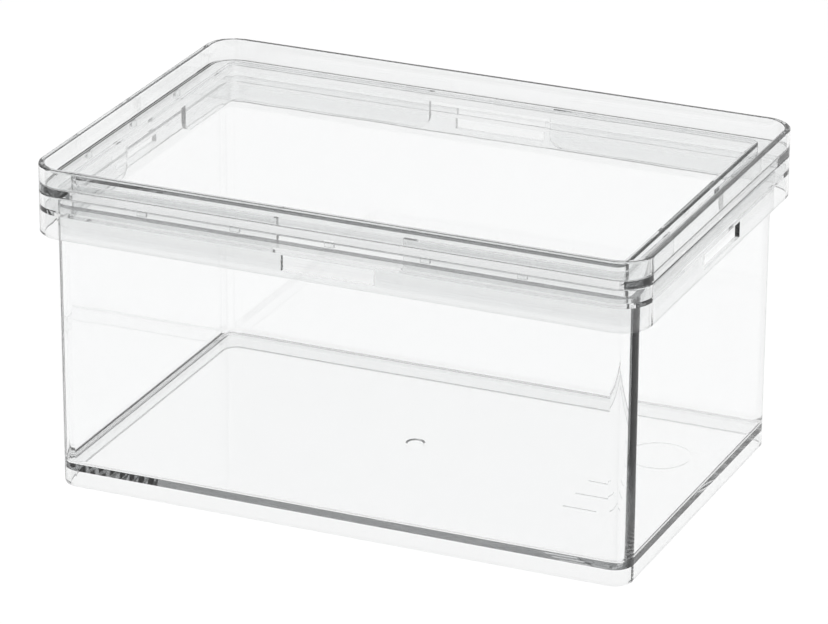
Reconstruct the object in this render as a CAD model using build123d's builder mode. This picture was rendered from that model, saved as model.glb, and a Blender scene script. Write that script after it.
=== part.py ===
from build123d import *

import os
from math import radians, tan

# Clear stacking storage bin with a lift-off lid, both injection moulded.
# Millimetres, +Z up. The origin is on the table, under the middle of the bin.
# The bin is an open box on a hollow foot, with a skirted rim round its mouth.
# The lid rests on the rim, and its sunken shelf seats the foot of the next bin.

# Overall size: the rim and the lid share one outline
rim_length = 290.0
rim_width = 195.5
rim_corner = 14.5
lid_top = 154.6

# Bin body: its walls lean outwards a little towards the mouth, so that it leaves the mould
foot_length = 275.0
foot_width = 178.0
body_corner = 9.0
inner_corner = 3.0
wall = 2.6
wall_draft = 0.22
foot_height = 7.3
floor_thickness = 2.8
floor_fillet = 2.6
foot_fillet = 1.0

# Bin rim: the wall turns out into a ledge, which carries an upright band round the mouth.
# The band's lower part hangs below the ledge as a skirt, and its top edge carries the lid.
rim_top = 142.1
ledge_top = 135.3
ledge_thickness = 2.4
skirt_bottom = 122.2
skirt_thickness = 2.2
rim_fillet = 0.6

# Finger windows: one slot in the middle of each side of the skirt
window_width = 44.0
window_bottom = 125.4
window_height = 7.4

# Lid: an upright ring round a shelf, and inside the shelf a raised panel with tongues below
ring_thickness = 2.7
ring_fillet = 0.9
ring_lip_fillet = 0.5
shelf_thickness = 2.8
shelf_fillet = 1.2
panel_top = 148.4
panel_thickness = 2.2
panel_fillet = 0.8
tongue_length = 263.8
tongue_width = 167.8
tongue_corner = 5.2
tongue_thickness = 2.2
tongue_bottom = 128.2
tongue_gap = 60.0
tongue_round = 6.0

# Centring nibs below the shelf, just inside the rim's band
nib_width = 4.5
nib_depth = 1.6
nib_drop = 3.0
nib_clearance = 0.4
nib_pitch = 45.0
long_side_nibs = 5
short_side_nibs = 3

# Moulding marks in the floor: the gate, one ring and three plain dashes
gate_radius = 4.5
gate_depth = 0.5
gate_taper = 60.0
mark_x = 104.0
mark_y = 32.0
mark_radius = 15.0
mark_line = 0.9
mark_depth = 0.35
dash_x = 95.0
dash_y = -21.0
dash_length = 16.0
dash_pitch = 15.0
dash_count = 3

floor_top = foot_height + floor_thickness
shelf_top = rim_top + shelf_thickness


def outline(length, width, corner, inset=0.0, mode=Mode.ADD):
    """A rounded rectangle, pulled in by inset all round with its corners kept parallel."""
    RectangleRounded(length - 2 * inset, width - 2 * inset, corner - inset, mode=mode)


def hoop(length, width, corner, thickness):
    """The band between an outline and the same outline pulled in by thickness."""
    outline(length, width, corner)
    outline(length, width, corner, thickness, mode=Mode.SUBTRACT)


def side_slots(outer_x, outer_y, depth, width, bottom, top):
    """Cuts the same slot in the middle of all four sides, from the outer face inwards by depth."""
    middle = (bottom + top) / 2
    with Locations((outer_x - depth / 2, 0, middle), (depth / 2 - outer_x, 0, middle)):
        Box(depth, width, top - bottom, mode=Mode.SUBTRACT)
    with Locations((0, outer_y - depth / 2, middle), (0, depth / 2 - outer_y, middle)):
        Box(width, depth, top - bottom, mode=Mode.SUBTRACT)


def level_face(builder, height, facing):
    """The largest level face of a part at a height, facing up (1) or down (-1)."""
    level = builder.faces().filter_by(
        lambda f: abs(f.center().Z - height) < 0.001 and f.normal_at().Z * facing > 0.999
    )
    return level.sort_by(SortBy.AREA)[-1]


# The bin: rim, walls, floor and foot in one moulding, open above and hollow below the floor
with BuildPart() as storage_bin:
    # Rim: a block with rounded edges, hollowed above and below its ledge
    with BuildSketch(Plane.XY.offset(skirt_bottom)):
        outline(rim_length, rim_width, rim_corner)
    extrude(amount=rim_top - skirt_bottom)
    fillet(level_face(storage_bin, rim_top, 1).edges(), rim_fillet)
    fillet(level_face(storage_bin, skirt_bottom, -1).edges(), rim_fillet)
    with BuildSketch(Plane.XY.offset(ledge_top)):
        outline(rim_length, rim_width, rim_corner, skirt_thickness)
    extrude(amount=rim_top - ledge_top, mode=Mode.SUBTRACT)
    with BuildSketch(Plane.XY.offset(skirt_bottom)):
        outline(rim_length, rim_width, rim_corner, skirt_thickness)
    extrude(amount=ledge_top - ledge_thickness - skirt_bottom, mode=Mode.SUBTRACT)

    # Body: still solid, from the foot up to the ledge
    with BuildSketch():
        outline(foot_length, foot_width, body_corner)
    extrude(amount=ledge_top, taper=-wall_draft)
    fillet(level_face(storage_bin, 0, -1).edges(), foot_fillet)

    # Finger windows, cut through the skirt
    window_top = window_bottom + window_height
    side_slots(rim_length / 2, rim_width / 2, skirt_thickness, window_width, window_bottom, window_top)

    # Inside of the bin, with a rounded foot to its walls, and the hollow below the floor
    growth = tan(radians(wall_draft)) * floor_top
    with BuildSketch(Plane.XY.offset(floor_top)):
        RectangleRounded(
            foot_length + 2 * (growth - wall), foot_width + 2 * (growth - wall), inner_corner
        )
    extrude(amount=ledge_top - floor_top, taper=-wall_draft, mode=Mode.SUBTRACT)
    fillet(level_face(storage_bin, floor_top, 1).edges(), floor_fillet)
    with BuildSketch():
        outline(foot_length, foot_width, body_corner, wall)
    extrude(amount=foot_height, mode=Mode.SUBTRACT)

    # Moulding marks: the gate's dimple above, a ring and three dashes below
    with BuildSketch(Plane.XY.offset(floor_top)):
        Circle(gate_radius)
    extrude(amount=-gate_depth, taper=gate_taper, mode=Mode.SUBTRACT)
    with BuildSketch(Plane.XY.offset(foot_height)):
        with Locations((mark_x, mark_y)):
            Circle(mark_radius)
            Circle(mark_radius - mark_line, mode=Mode.SUBTRACT)
        with Locations((dash_x, dash_y)):
            with GridLocations(1, dash_pitch, 1, dash_count):
                SlotOverall(dash_length, mark_line)
    extrude(amount=mark_depth, mode=Mode.SUBTRACT)

storage_bin.part.label = "storage_bin"

# The lid: ring, shelf, raised panel, tongues and nibs in one moulding
with BuildPart() as lid:
    # Ring and shelf: a block with rounded edges, hollowed from above
    with BuildSketch(Plane.XY.offset(rim_top)):
        outline(rim_length, rim_width, rim_corner)
    extrude(amount=lid_top - rim_top)
    fillet(level_face(lid, lid_top, 1).edges(), ring_fillet)
    fillet(level_face(lid, rim_top, -1).edges(), rim_fillet)
    with BuildSketch(Plane.XY.offset(shelf_top)):
        outline(rim_length, rim_width, rim_corner, ring_thickness)
    extrude(amount=lid_top - shelf_top, mode=Mode.SUBTRACT)
    fillet(level_face(lid, shelf_top, 1).edges(), shelf_fillet)
    fillet(level_face(lid, lid_top, 1).inner_wires()[0].edges(), ring_lip_fillet)

    # Raised panel, hollow below between the tongues
    with BuildSketch(Plane.XY.offset(rim_top)):
        outline(tongue_length, tongue_width, tongue_corner)
    extrude(amount=panel_top - rim_top)
    fillet(level_face(lid, panel_top, 1).edges(), panel_fillet)
    with BuildSketch(Plane.XY.offset(rim_top)):
        outline(tongue_length, tongue_width, tongue_corner, tongue_thickness)
    extrude(amount=panel_top - panel_thickness - rim_top, mode=Mode.SUBTRACT)

    # Tongues: a hoop that drops inside the walls, cut away in the middle of each side
    with BuildSketch(Plane.XY.offset(tongue_bottom)):
        hoop(tongue_length, tongue_width, tongue_corner, tongue_thickness)
    extrude(amount=rim_top - tongue_bottom)
    side_slots(tongue_length / 2, tongue_width / 2, tongue_thickness, tongue_gap, tongue_bottom, rim_top)
    tongue_ends = lid.edges().filter_by(
        lambda e: abs(e.center().Z - tongue_bottom) < 0.001 and abs(e.length - tongue_thickness) < 0.001
    )
    fillet(tongue_ends, tongue_round)

    # Centring nibs
    nib_inset = skirt_thickness + nib_clearance + nib_depth / 2
    nib_middle = rim_top - nib_drop / 2
    with GridLocations(nib_pitch, rim_width - 2 * nib_inset, long_side_nibs, 2):
        with Locations((0, 0, nib_middle)):
            Box(nib_width, nib_depth, nib_drop)
    with GridLocations(rim_length - 2 * nib_inset, nib_pitch, 2, short_side_nibs):
        with Locations((0, 0, nib_middle)):
            Box(nib_depth, nib_width, nib_drop)

lid.part.label = "lid"

os.makedirs("parts", exist_ok=True)
export_step(storage_bin.part, "parts/storage_bin.step")
export_step(lid.part, "parts/lid.step")
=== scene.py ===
from math import cos, radians, sin

import bpy
from mathutils import Matrix, Vector

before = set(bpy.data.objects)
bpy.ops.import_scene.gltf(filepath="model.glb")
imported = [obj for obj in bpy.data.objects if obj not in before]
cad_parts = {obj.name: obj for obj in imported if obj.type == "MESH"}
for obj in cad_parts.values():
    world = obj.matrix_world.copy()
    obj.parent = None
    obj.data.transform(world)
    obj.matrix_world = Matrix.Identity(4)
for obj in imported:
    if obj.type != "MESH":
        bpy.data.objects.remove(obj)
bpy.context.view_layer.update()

bpy.ops.object.select_all(action="DESELECT")

# Camera: a long lens, to the right of the bin's long side and a little above its lid.
# It looks at the middle of the bin and lid together.
azimuth = radians(23.47)
elevation = radians(21.99)
roll = radians(0.30)
distance = 2.3431
focus = Vector((0, 0, 0.0776))

level_back = Vector((sin(azimuth), -cos(azimuth), 0))
level_right = Vector((cos(azimuth), sin(azimuth), 0))
back = cos(elevation) * level_back + Vector((0, 0, sin(elevation)))
level_up = back.cross(level_right)
right = cos(roll) * level_right + sin(roll) * level_up
up = cos(roll) * level_up - sin(roll) * level_right
axes = Matrix((right, up, back)).transposed()

lens = bpy.data.cameras.new("studio_camera")
lens.sensor_width = 36
lens.lens = 226.1
lens.shift_x = -0.0039
lens.shift_y = -0.0096
lens.clip_start = 0.05
camera = bpy.data.objects.new("studio_camera", lens)
bpy.context.scene.collection.objects.link(camera)
camera.matrix_world = Matrix.Translation(focus + back * distance) @ axes.to_4x4()
bpy.context.scene.camera = camera


# Bin: walls, floor, foot and skirted rim in one moulding of water-clear polystyrene.
# The steel mould is polished, so the faces are glossy, with the faint waves of the melt's flow
# in the walls. Rim and foot get painted shade, a slightly darker colour, and the foot has fine
# scuffs.
refraction = 1.585
scratch_roughness = 0.05
scuff_roughness = 0.18


def clear_plastic(name, seed, wear_from, wear_to, painted_shade_bands, painted_shade_strength):
    """A clear moulding whose scuffs fade out between the heights wear_from and wear_to.

    Each band of painted shade names an axis and the two distances along it between which the shade
    grows, and the last argument is how much such a band darkens the plastic's colour, as painted
    shade.
    """
    plastic = bpy.data.materials.new(name)
    plastic.use_nodes = True
    tree = plastic.node_tree
    add = tree.nodes.new
    link = tree.links.new
    surface = tree.nodes["Principled BSDF"]
    surface.inputs["Transmission Weight"].default_value = 1
    surface.inputs["IOR"].default_value = refraction

    # The melt's own grey shows only along the length of a wall
    depth = add("ShaderNodeVolumeAbsorption")
    depth.inputs["Color"].default_value = (0.51, 0.52, 0.525, 1)
    depth.inputs["Density"].default_value = 14
    link(depth.outputs["Volume"], tree.nodes["Material Output"].inputs["Volume"])

    place = add("ShaderNodeTexCoord").outputs["Object"]

    # Painted shade: zones where the colour is darkened to stand in for shade
    distances = add("ShaderNodeVectorMath")
    distances.operation = "ABSOLUTE"
    link(place, distances.inputs[0])
    split = add("ShaderNodeSeparateXYZ")
    link(distances.outputs["Vector"], split.inputs["Vector"])
    zones = []
    for axis, start, end in painted_shade_bands:
        zone = add("ShaderNodeMapRange")
        zone.inputs["From Min"].default_value = start
        zone.inputs["From Max"].default_value = end
        link(split.outputs[axis], zone.inputs["Value"])
        zones.append(zone.outputs["Result"])
    shade_paint_mask = add("ShaderNodeMath")
    shade_paint_mask.operation = "MAXIMUM"
    link(zones[0], shade_paint_mask.inputs[0])
    link(zones[1], shade_paint_mask.inputs[1])
    # The plastic's own faint tint, darkened into painted shade inside the bands
    tint_and_painted_shade = add("ShaderNodeMix")
    tint_and_painted_shade.data_type = "RGBA"
    tint_and_painted_shade.inputs["A"].default_value = (0.988, 0.991, 0.992, 1)
    tint_and_painted_shade.inputs["B"].default_value = (0.995 - painted_shade_strength, 1 - painted_shade_strength, 1 - painted_shade_strength, 1)
    link(shade_paint_mask.outputs[0], tint_and_painted_shade.inputs["Factor"])
    link(tint_and_painted_shade.outputs["Result"], surface.inputs["Base Color"])

    # Long soft waves that the melt leaves as it fills the mould
    flow_place = add("ShaderNodeMapping")
    flow_place.inputs["Location"].default_value = (seed, seed * 0.7, 0)
    flow_place.inputs["Scale"].default_value = (9, 9, 5)
    link(place, flow_place.inputs["Vector"])
    flow = add("ShaderNodeTexNoise")
    flow.inputs["Scale"].default_value = 1.6
    flow.inputs["Detail"].default_value = 1.5
    link(flow_place.outputs["Vector"], flow.inputs["Vector"])
    waves = add("ShaderNodeBump")
    waves.inputs["Strength"].default_value = 0.35
    waves.inputs["Distance"].default_value = 0.0012
    link(flow.outputs["Fac"], waves.inputs["Height"])

    # Hairline scratches, crossed two ways
    scratches = []
    for turn, length in ((0.5, 3), (-0.9, 5)):
        lay = add("ShaderNodeMapping")
        lay.inputs["Rotation"].default_value = (turn, turn * 0.6, turn)
        lay.inputs["Scale"].default_value = (length, 260, 260)
        link(place, lay.inputs["Vector"])
        hair = add("ShaderNodeTexNoise")
        hair.inputs["Scale"].default_value = 5
        hair.inputs["Detail"].default_value = 2
        link(lay.outputs["Vector"], hair.inputs["Vector"])
        keep = add("ShaderNodeMapRange")
        keep.inputs["From Min"].default_value = 0.70
        keep.inputs["From Max"].default_value = 0.78
        link(hair.outputs["Fac"], keep.inputs["Value"])
        scratches.append(keep.outputs["Result"])
    either = add("ShaderNodeMath")
    either.operation = "MAXIMUM"
    link(scratches[0], either.inputs[0])
    link(scratches[1], either.inputs[1])

    # Scuffed band where the piece rests or is gripped
    height = add("ShaderNodeSeparateXYZ")
    link(place, height.inputs["Vector"])
    band = add("ShaderNodeMapRange")
    band.inputs["From Min"].default_value = wear_from
    band.inputs["From Max"].default_value = wear_to
    link(height.outputs["Z"], band.inputs["Value"])
    grain = add("ShaderNodeTexNoise")
    grain.inputs["Scale"].default_value = 420
    grain.inputs["Detail"].default_value = 4
    link(place, grain.inputs["Vector"])
    scuffs = add("ShaderNodeMath")
    scuffs.operation = "MULTIPLY"
    link(band.outputs["Result"], scuffs.inputs[0])
    link(grain.outputs["Fac"], scuffs.inputs[1])

    # Scratches and scuffs both roughen the polish
    scuffed = add("ShaderNodeMath")
    scuffed.operation = "MULTIPLY"
    scuffed.inputs[1].default_value = scuff_roughness
    link(scuffs.outputs[0], scuffed.inputs[0])
    worn = add("ShaderNodeMath")
    worn.operation = "MULTIPLY_ADD"
    worn.inputs[1].default_value = scratch_roughness
    link(either.outputs[0], worn.inputs[0])
    link(scuffed.outputs[0], worn.inputs[2])
    link(worn.outputs[0], surface.inputs["Roughness"])
    link(waves.outputs["Normal"], surface.inputs["Normal"])
    return plastic


def finish_piece(piece, plastic):
    """Gives a moulding its plastic, and keeps its shadow and its bounced light off the floor."""
    for held in piece.material_slots:
        held.material = plastic
    piece.visible_shadow = False
    piece.visible_diffuse = False


storage_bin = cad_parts["storage_bin"]
# Painted shade: the colour darkens above about 122 mm (rim) and below about 7 mm (foot)
bin_painted_shade_bands = (("Z", 0.1216, 0.1224), ("Z", 0.0078, 0.0070))
bin_plastic = clear_plastic("bin_clear_polystyrene", 3.1, 0.0016, 0.0, bin_painted_shade_bands, 0.09)
finish_piece(storage_bin, bin_plastic)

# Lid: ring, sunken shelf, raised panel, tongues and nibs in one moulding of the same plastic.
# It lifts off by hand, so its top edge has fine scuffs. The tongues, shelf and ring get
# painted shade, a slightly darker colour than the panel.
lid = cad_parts["lid"]
# Painted shade: the colour darkens beyond 129 mm along the length and beyond 81 mm across the width
lid_painted_shade_bands = (("X", 0.1290, 0.1296), ("Y", 0.0810, 0.0816))
lid_plastic = clear_plastic("lid_clear_polystyrene", 8.4, 0.1538, 0.1546, lid_painted_shade_bands, 0.06)
finish_piece(lid, lid_plastic)

# Studio: a plain pale floor under an even overhead light that only the floor sees.
bpy.ops.mesh.primitive_plane_add(size=40)
floor = bpy.context.object
floor.name = "studio_floor"
floor_paint = bpy.data.materials.new("pale_floor_paint")
floor_paint.use_nodes = True
paint = floor_paint.node_tree.nodes["Principled BSDF"]
paint.inputs["Base Color"].default_value = (0.90, 0.90, 0.90, 1)
paint.inputs["Roughness"].default_value = 1
paint.inputs["Specular IOR Level"].default_value = 0
floor.data.materials.append(floor_paint)

# Surroundings: white card behind and to the right, grey room to the left and on the camera's side.
# Each side has its own brightness by height, and neighbouring sides blend into each other.
surroundings = bpy.data.worlds.new("studio_surroundings")
surroundings.use_nodes = True
bpy.context.scene.world = surroundings
tree = surroundings.node_tree
direction = tree.nodes.new("ShaderNodeTexCoord").outputs["Generated"]
heights = tree.nodes.new("ShaderNodeSeparateXYZ")
tree.links.new(direction, heights.inputs["Vector"])
flat = tree.nodes.new("ShaderNodeVectorMath")
flat.operation = "MULTIPLY"
flat.inputs[1].default_value = (1, 1, 0)
tree.links.new(direction, flat.inputs[0])
compass = tree.nodes.new("ShaderNodeVectorMath")
compass.operation = "NORMALIZE"
tree.links.new(flat.outputs["Vector"], compass.inputs[0])

# Brightness at the horizon, low, middle, high and overhead, as sines of the height above the horizon
steps = (0.0, 0.14, 0.34, 0.64, 1.0)
overhead = 0.76
sides = (
    (-level_back, (1.06, 1.07, 0.98, 0.92)),
    (level_right, (1.04, 1.05, 1.03, 0.91)),
    (level_back, (0.36, 0.37, 0.39, 0.58)),
    (-level_right, (0.26, 0.28, 0.32, 0.55)),
)
brightest = 2.0
total = None
for facing, levels in sides:
    toward = tree.nodes.new("ShaderNodeVectorMath")
    toward.operation = "DOT_PRODUCT"
    toward.inputs[1].default_value = facing
    tree.links.new(compass.outputs["Vector"], toward.inputs[0])
    ahead = tree.nodes.new("ShaderNodeMath")
    ahead.operation = "MAXIMUM"
    ahead.inputs[1].default_value = 0
    tree.links.new(toward.outputs["Value"], ahead.inputs[0])
    share = tree.nodes.new("ShaderNodeMath")
    share.operation = "POWER"
    share.inputs[1].default_value = 2
    tree.links.new(ahead.outputs[0], share.inputs[0])
    ramp = tree.nodes.new("ShaderNodeValToRGB")
    stops = ramp.color_ramp.elements
    while len(stops) < len(steps):
        stops.new(0.5)
    for stop, step, level in zip(stops, steps, levels + (overhead,)):
        stop.position = step
        stop.color = (level / brightest, level / brightest, level / brightest, 1)
    tree.links.new(heights.outputs["Z"], ramp.inputs["Fac"])
    added = tree.nodes.new("ShaderNodeMath")
    added.operation = "MULTIPLY_ADD"
    added.inputs[2].default_value = 0
    tree.links.new(share.outputs[0], added.inputs[0])
    tree.links.new(ramp.outputs["Color"], added.inputs[1])
    if total is not None:
        tree.links.new(total, added.inputs[2])
    total = added.outputs[0]
backdrop = tree.nodes["Background"]
backdrop.inputs["Strength"].default_value = brightest
tree.links.new(total, backdrop.inputs["Color"])

# Overhead light for the floor alone
overhead_light = bpy.data.lights.new("overhead_softbox", "AREA")
overhead_light.shape = "DISK"
overhead_light.size = 4
overhead_light.energy = 52
softbox = bpy.data.objects.new("overhead_softbox", overhead_light)
softbox.location = (0, 0, 3)
softbox.visible_camera = False
softbox.visible_glossy = False
softbox.visible_transmission = False
bpy.context.scene.collection.objects.link(softbox)

# Clear walls stand behind each other, so light is followed through many of their faces
scene = bpy.context.scene
scene.view_settings.view_transform = "Standard"
scene.cycles.max_bounces = 48
scene.cycles.transmission_bounces = 48
scene.cycles.glossy_bounces = 48
